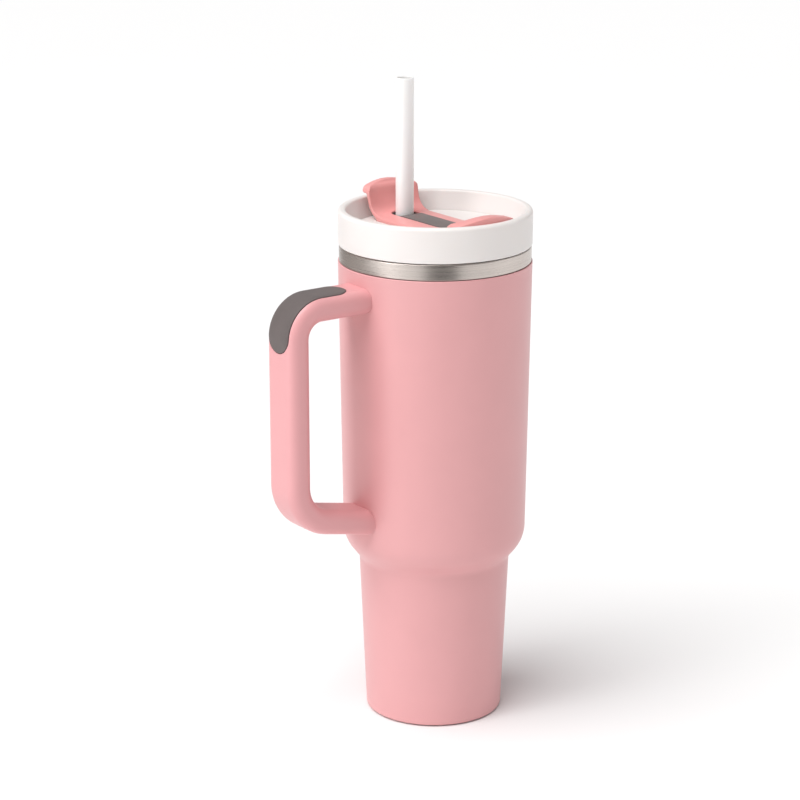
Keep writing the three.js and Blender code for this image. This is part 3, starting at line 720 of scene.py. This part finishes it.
class HandleShape:
    """The handle's centre line and section, with positions on its outer face."""

    def __init__(self, sizes, cup):
        self.half, self.depth, self.rounding = sizes.width / 2, sizes.thickness / 2, sizes.rounding
        self.reach, self.top = -handle_low.x - self.depth, handle_high.z - self.depth
        self.top_bend, self.low_bend = sizes.top_bend, sizes.low_bend
        self.low_root, self.slope = sizes.low_root, math.tan(sizes.low_slope)
        self.cup, self.low_radius = cup, upper_radius(cup, sizes.low_root)

    def low_height(self, distance_out):
        return self.low_root + (distance_out - self.low_radius) * self.slope

    def spine(self):
        """Points (x, z) of the centre line, from the upper root to the lower root."""
        inside = 4.0    # the arms start this far within the shell, and are trimmed to it
        top_root = upper_radius(self.cup, self.top) - inside
        corners = [
            (-top_root, self.top), (-self.reach, self.top, self.top_bend),
            (-self.reach, self.low_height(self.reach), self.low_bend),
            (-self.low_radius + inside, self.low_height(self.low_radius - inside)),
        ]
        points = rounded(corners, closed=False, step=3.0, support=0.5)
        dense = []
        for a, b in zip(points[:-1], points[1:]):
            count = max(1, round((b - a).length / 2.5))
            dense += [a.lerp(b, k / count) for k in range(count)]
        return dense + [points[-1]]

    def section(self):
        """Points (y, out) round the section; out is away from the cup."""
        y, out, radius = self.half, self.depth, self.rounding
        corners = [(y, -out, radius), (y, out, radius), (-y, out, radius), (-y, -out, radius)]
        return rounded(corners, step=9.0, support=0.4)

    def outer_point(self, along, across, lift):
        """A point on the outer face: along is measured from the start of the top bend, across from the middle."""
        flat = self.half - self.rounding
        turn = max(0.0, abs(across) - flat) / self.rounding
        side = math.copysign(1.0, across)
        y = side * (min(abs(across), flat) + (self.rounding + lift) * math.sin(turn))
        out = self.depth - self.rounding + (self.rounding + lift) * math.cos(turn)
        bend, length = self.top_bend, (self.top_bend + self.depth) * math.pi / 2
        start = self.reach - bend
        if along <= 0:
            return Vector((-start - along, y, self.top + out))
        if along >= length:
            return Vector((-self.reach - out, y, self.top - bend - (along - length)))
        turned = along / (bend + self.depth)
        radius = bend + out
        return Vector((-start - radius * math.sin(turned), y, self.top - bend + radius * math.cos(turned)))


def grip_pad(shape, sizes, margin, lift, depth, edge):
    """A rounded pad laid along the outside of the handle's top bend."""
    half = sizes.grip_half + margin
    first = -(shape.reach - shape.top_bend) + sizes.grip_start - margin
    length = (shape.top_bend + shape.depth) * math.pi / 2
    last = length + shape.top - shape.top_bend - sizes.grip_end + margin
    tip = sizes.grip_tip + margin
    near, far = first + tip, last - tip

    def round_end(middle, start):
        return [(middle, tip * x, half * y) for x, y in arc((0, 0), 1.0, start, math.pi, 32)]

    def long_side(begin, end, across, steps=56):
        return [(begin + (end - begin) * k / steps, 0.0, across) for k in range(1, steps)]

    rim = round_end(near, math.pi / 2) + long_side(near, far, -half)
    rim += round_end(far, -math.pi / 2) + long_side(far, near, half)

    def ring(share, height):
        return [shape.outer_point(mid + out * share, across * share, height) for mid, out, across in rim]

    rows = [ring(share, -depth) for share in (0.0, 0.35, 0.7, 1.0)]
    rows.append(ring(1.0, lift - edge))
    for k in range(1, 7):
        turn = math.pi / 2 * k / 6
        inset = edge * (1 - math.cos(turn)) / half
        rows.append(ring(1.0 - inset, lift - edge + edge * math.sin(turn)))
    rows += [ring(share, lift) for share in (0.94, 0.8, 0.6, 0.4, 0.2, 0.0)]
    return face_out(grid_mesh(rows))


class TUMBLER_OT_handle(bpy.types.Operator):
    """Moulded handle, trimmed to the shell, with a pocket for the soft grip"""

    bl_idname = "tumbler.handle"
    bl_label = "Handle"

    def execute(self, context):
        sizes, cup = in_mm(context.scene.handle_sizes), in_mm(context.scene.cup_sizes)
        shape = HandleShape(sizes, cup)
        spine, section = shape.spine(), shape.section()
        clear = 0.04    # from the shell to the trimmed ends of the arms
        rows = []
        for i, here in enumerate(spine):
            along = (spine[min(i + 1, len(spine) - 1)] - spine[max(i - 1, 0)]).normalized()
            row = []
            for y, out in section:
                x, z = here.x + out * along.y, here.y - out * along.x
                wall = math.sqrt(upper_radius(cup, z) ** 2 - y * y) + clear
                row.append((min(x, -wall), y, z))
            rows.append(row)
        handle = as_object(face_out(grid_mesh(rows, caps=True)), "moulded_handle")
        combine(handle, grip_pad(shape, sizes, sizes.grip_gap, 2.0, 1.6, 0.2), "DIFFERENCE")
        finish = powder_coat("handle_coat", sizes.paint, 0.07)
        finish_piece(handle, finish, "cup", "handle_plastic", "handle", sharp=40)
        return {"FINISHED"}


class TUMBLER_OT_grip(bpy.types.Operator):
    """Soft grip pad in the handle's pocket"""

    bl_idname = "tumbler.grip"
    bl_label = "Soft Grip"

    def execute(self, context):
        sizes = in_mm(context.scene.handle_sizes)
        shape = HandleShape(sizes, in_mm(context.scene.cup_sizes))
        pad = as_object(grip_pad(shape, sizes, 0.0, sizes.proud, 1.3, 0.45), "soft_grip")
        finish_piece(pad, soft_rubber("grip_rubber", sizes.rubber), "cup", "grip_rubber", "comfort_grip")
        return {"FINISHED"}


# ---- lid


def curved_slot(radius, half, start, sweep):
    """Outline of a slot that follows a circle, with round ends."""
    end = start + sweep
    near, far = ((radius * math.cos(turn), radius * math.sin(turn)) for turn in (start, end))
    return (
        arc((0, 0), radius + half, start, sweep, 32)
        + arc(far, half, end, math.pi, 12, skip=1)
        + arc((0, 0), radius - half, end, -sweep, 32)
        + arc(near, half, start + math.pi, math.pi, 12, skip=1)
    )


class TUMBLER_OT_lid(bpy.types.Operator):
    """White lid with its rounded rim and dish"""

    bl_idname = "tumbler.lid"
    bl_label = "Lid"

    def execute(self, context):
        sizes = in_mm(context.scene.lid_sizes)
        radius, bottom, top = lid_high.x, lid_low.z, lid_high.z
        rim = radius - sizes.rim
        dish = radius - sizes.dish
        floor = bottom + sizes.floor
        under = floor - sizes.floor_wall
        edge = radius - sizes.edge_wall
        line = [
            (radius, bottom, 0.45), (radius, top, sizes.outer_round),
            (rim, top, sizes.inner_round), (dish, disc_high.z, 1.0),
            (dish, floor, 0.2), (PIN_HOLE, floor, 0.2),
            (PIN_HOLE, under, 0.2), (edge, under, 0.6),
            (edge, bottom, 0.3),
        ]
        lid = as_object(lathe(line), "lid_shell")
        slot = curved_slot(straw_y, straw_radius + sizes.slot_room, math.pi / 2, COVER_TURN)
        combine(lid, prism(slot, under - 1, floor + 1), "DIFFERENCE")
        finish_piece(lid, moulded("lid_white", sizes.white, 0.36, 0.15), "lid", "lid_plastic", "lid_body", sharp=40)
        return {"FINISHED"}


class TUMBLER_OT_lid_inside(bpy.types.Operator):
    """Threaded skirt under the lid and its sealing ring"""

    bl_idname = "tumbler.lid_inside"
    bl_label = "Skirt and Gasket"

    def execute(self, context):
        outer = skirt_radius
        inner = outer - context.scene.lid_sizes.skirt_wall / MM
        ring = tube(inner, outer, skirt_low.z, skirt_high.z, (0.5, 0.8, 0.2, 0.4))
        skirt = as_object(ring, "screw_skirt")
        finish_piece(skirt, bpy.data.materials["skirt_white"], "lid", "skirt_plastic", "lid_skirt")
        low, high, middle = gasket_low.z, gasket_high.z, (gasket_low.z + gasket_high.z) / 2
        inner, outer, groove = skirt_radius + FIT, gasket_high.x, 0.35
        line = [
            (inner, low, 0.15), (outer, low, 0.35),
            (outer, middle - groove, 0.15), (outer - groove, middle, 0.15),
            (outer, middle + groove, 0.15), (outer, high, 0.35),
            (inner, high, 0.15),
        ]
        gasket = as_object(lathe(line, support=0.03), "gasket_ring")
        finish = soft_rubber("gasket_silicone", (0.62, 0.58, 0.55), 0.5)
        finish_piece(gasket, finish, "gasket", "silicone", "lid_gasket")
        return {"FINISHED"}


# ---- turning cover


def round_slot(half, end, start):
    """Outline of a straight slot with round ends."""
    return arc((0, start), half, 0, math.pi, 48) + arc((0, end + half), half, math.pi, math.pi, 48)


def bar_plan(half, tab_foot, lip_foot):
    """Outline of the bar: straight sides, round ends at the tab and at the dish wall."""
    points = []
    for radius, middle in ((tab_foot, math.pi / 2), (lip_foot, -math.pi / 2)):
        reach = math.asin(half / radius)
        points += arc((0, 0), radius, middle - reach, 2 * reach, 32)
    return points


class TUMBLER_OT_disc(bpy.types.Operator):
    """White disc that makes the dish floor and turns with the cover"""

    bl_idname = "tumbler.disc"
    bl_label = "Cover Disc"

    def execute(self, context):
        sizes = in_mm(context.scene.cover_sizes)
        radius, low, high = disc_high.x, disc_low.z, disc_high.z
        disc = as_object(lathe([(0, low), (radius, low, 0.3), (radius, high, 0.5), (0, high)]), "dish_disc")
        plan = bar_plan(sizes.half_width + 0.25, sizes.tab_foot + FIT, radius + 1)
        combine(disc, prism(plan, cover_low.z - FIT, high + 5), "DIFFERENCE")
        bore(disc, straw_radius + STRAW_ROOM, low - 1, high + 1, straw_y, SMALL_ROUND)
        bore(disc, PIN_HOLE, low - 1, high + 1)
        finish_piece(disc, bpy.data.materials["lid_white"], "cover", "lid_plastic", "cover_disc", sharp=40)
        return {"FINISHED"}


def finger_tab(sizes, edge):
    """Thin wall that curves up from the bar and hooks out over the rim."""
    top = lid_high.z
    above = cover_high.z + 6
    hook, under = sizes.hook_reach, top + sizes.hook_rise
    wall = lathe([
        (28.0, edge - 0.4), (30.5, edge + 0.1, 8),
        (34.6, edge + 1.5, 8), (36.9, edge + 4.1, 8),
        (38.3, edge + 8.6, 12), (38.8, edge + 12.8, 9),
        (39.4, cover_high.z - 1.4, 1.6), (40.6, cover_high.z - 0.3, 2),
        (42.0, above), (hook, above),
        (hook, under, 1.2), (40.9, under, 1.0),
        (39.9, edge + 7.1, 8), (38.5, edge + 3.1, 6),
        (36.4, edge + 0.7, 3), (sizes.tab_foot, disc_high.z + FIT, 2),
        (28.0, disc_high.z + FIT),
    ], step=9)
    half, corner = sizes.half_width, top + sizes.tab_corner
    outline = rounded([
        (-half, cover_low.z), (half, cover_low.z),
        (half, corner, sizes.tab_round), (0, corner + sizes.tab_arch, 60),
        (-half, corner, sizes.tab_round),
    ])
    return combine(as_object(wall, "tab"), prism(outline, 2.0, PAST, "Y"), "INTERSECT")


def low_lip(sizes, crown, rim_in):
    """Low leaf-shaped lip that follows the inside of the rim."""
    crest = rim_in - sizes.crest_inset
    top = lid_high.z + sizes.lip_rise
    side = lid_high.z - sizes.lip_drop
    wall = lathe([
        (crest - 12.0, cover_low.z), (rim_in, cover_low.z),
        (rim_in, top + 2), (crest, top + 2),
        (crest - 1.3, top - 1.6, 4), (crest - 3.0, crown + 4.4, 6),
        (crest - 5.5, crown + 1.8, 6), (crest - 9.5, crown - 0.1, 5),
        (crest - 12.0, crown - 0.5),
    ])
    half, bar = sizes.lip_half, sizes.half_width
    over = disc_high.z + FIT
    outline = rounded([
        (-bar, cover_low.z), (bar, cover_low.z),
        (bar, over), (half, over),
        (half, side, 2.2), (0, top + sizes.lip_arch, 70),
        (-half, side, 2.2), (-half, over),
        (-bar, over),
    ])
    return combine(as_object(wall, "lip"), prism(outline, -PAST, -2.0, "Y"), "INTERSECT")


class TUMBLER_OT_cover(bpy.types.Operator):
    """Pink turning cover: crowned bar, finger tab and low lip in one moulding"""

    bl_idname = "tumbler.cover"
    bl_label = "Turning Cover"

    def execute(self, context):
        sizes = in_mm(context.scene.cover_sizes)
        edge = disc_high.z + sizes.edge_step
        crown = edge + sizes.crown
        opening = straw_radius + STRAW_ROOM
        half, foot = sizes.half_width, disc_high.x
        bottom, top = cover_low.z, lid_high.z
        rim_in = lid_high.x - context.scene.lid_sizes.rim / MM
        section = rounded([
            (-half, bottom), (half, bottom),
            (half, edge, 0.9), (opening + 3, crown - 0.05, 12),
            (-opening - 3, crown - 0.05, 12), (-half, edge, 0.9),
        ])
        bar = as_object(prism(section, -PAST, PAST, "Y"), "cover_bar")
        combine(bar, prism(bar_plan(half + 0.01, sizes.tab_foot, foot), bottom - 1, top), "INTERSECT")
        combine(bar, low_lip(sizes, crown, rim_in), "UNION")
        room = lathe([
            (0, bottom), (foot, bottom),
            (foot, disc_high.z), (rim_in - 0.35, top - 0.5),
            (rim_in - 0.35, cover_high.z + 2), (0, cover_high.z + 2),
        ])
        combine(bar, room, "INTERSECT")
        combine(bar, finger_tab(sizes, edge), "UNION")
        slot = round_slot(opening, insert_low.y - FIT, straw_y)
        combine(bar, prism(slot, insert_low.z - FIT, top + 20), "DIFFERENCE")
        bore(bar, opening, bottom - 1, top, straw_y, SMALL_ROUND)
        bore(bar, PIN_HOLE, bottom - 1, insert_low.z)
        soften(bar, sizes.voxel, 6)
        finish = moulded("cover_pink", sizes.pink, 0.34, 0.05)
        finish_piece(bar, finish, "cover", "cover_plastic", "rotating_cover")
        return {"FINISHED"}


class TUMBLER_OT_insert(bpy.types.Operator):
    """Grey insert strip in the bar, and the dark ring that seals round the straw"""

    bl_idname = "tumbler.insert"
    bl_label = "Insert and Straw Seal"

    def execute(self, context):
        sizes = context.scene.cover_sizes
        half, back = insert_high.x, insert_high.y
        points = [(half, back), (-half, back)]
        points += arc((0, insert_low.y + half), half, math.pi, math.pi, 48, skip=1)
        strip = as_object(prism(points, insert_low.z, insert_high.z), "grey_strip")
        bevel = strip.modifiers.new("bevel", "BEVEL")
        bevel.width = 0.25
        bevel.segments = 3
        bevel.limit_method = "ANGLE"
        applied(strip)
        finish = soft_rubber("insert_grey", sizes.grey, 0.5)
        finish_piece(strip, finish, "cover", "insert_plastic", "cover_insert", sharp=40)
        inner = straw_radius + FIT
        outer = (grommet_high.x - grommet_low.x) / 2 + FIT / 2
        crest = grommet_high.z + sizes.seal_rise / MM
        line = [
            (inner, grommet_low.z, 0.3), (outer, grommet_low.z, 0.2),
            (outer, crest - 0.5, 0.2), (outer - 0.6, crest, 0.2),
            (inner, crest - 1.6, 0.3),
        ]
        ring = as_object(lathe(line, SMALL_ROUND, (0, straw_y), support=0.02), "straw_seal")
        dark = soft_rubber("seal_rubber", (0.03, 0.026, 0.026), 0.6)
        finish_piece(ring, dark, "cover", "grommet_rubber", "straw_grommet")
        return {"FINISHED"}


# ---- straw and small parts


class TUMBLER_OT_straw(bpy.types.Operator):
    """Frosted drinking straw with rounded cut ends"""

    bl_idname = "tumbler.straw"
    bl_label = "Straw"

    def execute(self, context):
        sizes = in_mm(context.scene.straw_sizes)
        inner, lip = straw_radius - sizes.wall, sizes.lip
        pipe = tube(inner, straw_radius, straw_low.z, straw_high.z, (lip,) * 4, SMALL_ROUND, (0, straw_y))
        straw = as_object(pipe, "drinking_straw")
        finish_piece(straw, frosted_straw("straw_milky", sizes.milk), "straw", "straw_plastic", "straw")
        return {"FINISHED"}


class TUMBLER_OT_small_parts(bpy.types.Operator):
    """Finishes for the brackets, screws, plugs and other parts that keep their CAD shape"""

    bl_idname = "tumbler.small_parts"
    bl_label = "Small Parts"

    def execute(self, context):
        steel = plain_steel("turned_steel", (0.55, 0.54, 0.53))
        plug = soft_rubber("plug_rubber", (0.19, 0.16, 0.16))
        silicone = bpy.data.materials["gasket_silicone"]
        finishes = {
            steel: ("bottom_plate", "vacuum_seal_cap", "getter_pellet", "upper_bracket", "lower_bracket",
                    "upper_screw", "lower_screw", "pivot_pin", "pivot_washer"),
            plug: ("upper_screw_plug", "lower_screw_plug"),
            silicone: ("cover_seal_ring",),
        }
        for finish, names in finishes.items():
            for name in names:
                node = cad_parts[name]
                node.data.materials.clear()
                node.data.materials.append(finish)
        return {"FINISHED"}


# ---- stage


class StageSizes(bpy.types.PropertyGroup):
    camera: bpy.props.FloatVectorProperty(
        name="Camera", description="Where the camera stands", default=(-0.7595, -1.0079, 0.5372),
        subtype="TRANSLATION", unit="LENGTH", size=3, precision=4,
    )
    tilt: angle("Tilt", "Camera tilt up from straight down", 73.612)
    heading: angle("Heading", "Camera turn about the vertical", -36.194)
    lens: number("Lens", "Focal length", 115.44, unit="CAMERA")
    floor: colour("Floor", "Floor colour", (0.9, 0.9, 0.9))
    floor_radius: number("Floor Radius", "Radius of the floor", 30.0, subtype="DISTANCE", unit="LENGTH")
    key: number("Key", "Power of the left softbox", 6.9, unit="POWER")
    fill: number("Fill", "Power of the right softbox", 2.4, unit="POWER")
    ceiling: number("Ceiling", "Strength of the light from above", 2.7)
    ambient: number("Ambient", "Strength of the light all round", 0.37)


def softbox(name, heading, height, distance_out, size, watts):
    """A rectangular light at a heading from the camera's line, facing the middle of the cup."""
    light = bpy.data.lights.new(name, "AREA")
    light.shape = "RECTANGLE"
    light.size, light.size_y = size
    light.energy = watts
    lamp = placed(name, light)
    turn = math.radians(heading) + bpy.context.scene.stage_sizes.heading - math.pi / 2
    lamp.location = (distance_out * math.cos(turn), distance_out * math.sin(turn), height)
    aim = Vector((0, 0, 0.15)) - lamp.location
    lamp.rotation_euler = aim.to_track_quat("-Z", "Y").to_euler()


class TUMBLER_OT_stage(bpy.types.Operator):
    """Pale floor, studio softboxes, surrounding light and the camera"""

    bl_idname = "tumbler.stage"
    bl_label = "Stage"

    def execute(self, context):
        sizes = context.scene.stage_sizes
        camera = bpy.data.cameras.new("camera")
        camera.lens = sizes.lens
        camera.sensor_width = 36.0
        camera.clip_start = 0.05
        eye = placed("camera", camera)
        eye.location = sizes.camera
        eye.rotation_euler = (sizes.tilt, 0.0, sizes.heading)
        context.scene.camera = eye

        bm = bmesh.new()
        bmesh.ops.create_circle(bm, cap_ends=True, radius=sizes.floor_radius, segments=96)
        floor = as_object(bm, "floor")
        finish = Finish("pale_floor")
        grain = finish.noise(4.0, 2.0)
        tone = finish.tone(grain, sizes.floor, 0.995, 1.0)
        floor.data.materials.append(finish.surface(Base_Color=tone, Roughness=0.7, Specular_IOR_Level=0.2))

        softbox("key", -57, 0.6, 1.6, (0.5, 1.2), sizes.key)
        softbox("right", 90, 0.5, 1.7, (1.0, 1.2), sizes.fill)
        sun = bpy.data.lights.new("ceiling", "SUN")
        sun.energy = sizes.ceiling
        sun.angle = math.radians(50)
        ceiling = placed("ceiling", sun)
        ceiling.rotation_euler = (math.radians(25), 0.0, sizes.heading - math.radians(50))
        flags = (("front_flag", 7, 0.24, 0.7, 0.1), ("left_flag", -116, 0.5, 0.75, 0.55))
        for name, heading, half, distance_out, grey in flags:
            cloth = soft_rubber(name + "_cloth", (grey, grey * 0.95, grey * 0.92))
            near, far = distance_out, distance_out + 0.01
            plan = [(-half, near), (half, near), (half, far), (-half, far)]
            flag = as_object(prism(plan, 0.002, 0.9), name)
            flag.data.transform(Matrix.Rotation(sizes.heading + math.pi + math.radians(heading), 4, "Z"))
            flag.data.materials.append(cloth)
            for kind in ("camera", "diffuse", "transmission", "volume_scatter", "shadow"):
                setattr(flag, "visible_" + kind, False)
        world = bpy.data.worlds.new("studio")
        world.use_nodes = True
        background = world.node_tree.nodes["Background"]
        background.inputs["Color"].default_value = (1.0, 0.99, 0.985, 1.0)
        background.inputs["Strength"].default_value = sizes.ambient
        context.scene.world = world
        context.scene.view_settings.view_transform = "Standard"
        return {"FINISHED"}


# ---- panel and registration

PIECES = (
    TUMBLER_OT_stage,
    TUMBLER_OT_shell,
    TUMBLER_OT_liner,
    TUMBLER_OT_threads,
    TUMBLER_OT_foot,
    TUMBLER_OT_handle,
    TUMBLER_OT_grip,
    TUMBLER_OT_lid,
    TUMBLER_OT_lid_inside,
    TUMBLER_OT_disc,
    TUMBLER_OT_cover,
    TUMBLER_OT_insert,
    TUMBLER_OT_straw,
    TUMBLER_OT_small_parts,
)
SIZES = {
    "cup_sizes": CupSizes,
    "handle_sizes": HandleSizes,
    "lid_sizes": LidSizes,
    "cover_sizes": CoverSizes,
    "straw_sizes": StrawSizes,
    "stage_sizes": StageSizes,
}


class TUMBLER_PT_panel(bpy.types.Panel):
    """Lists the pieces of the tumbler"""

    bl_idname = "TUMBLER_PT_panel"
    bl_label = "Tumbler"
    bl_space_type = "VIEW_3D"
    bl_region_type = "UI"
    bl_category = "Tumbler"

    def draw(self, context):
        for piece in PIECES:
            self.layout.operator(piece.bl_idname)


def register():
    for group in SIZES.values():
        bpy.utils.register_class(group)
    for name, group in SIZES.items():
        setattr(bpy.types.Scene, name, bpy.props.PointerProperty(type=group))
    for piece in PIECES:
        bpy.utils.register_class(piece)
    bpy.utils.register_class(TUMBLER_PT_panel)


def unregister():
    bpy.utils.unregister_class(TUMBLER_PT_panel)
    for piece in reversed(PIECES):
        bpy.utils.unregister_class(piece)
    for name in SIZES:
        delattr(bpy.types.Scene, name)
    for group in reversed(SIZES.values()):
        bpy.utils.unregister_class(group)


def run(piece):
    """Calls a piece's operator by its name."""
    module, name = piece.bl_idname.split(".")
    getattr(getattr(bpy.ops, module), name)()


def main():
    register()
    for piece in PIECES:
        run(piece)


if __name__ == "__main__":
    main()
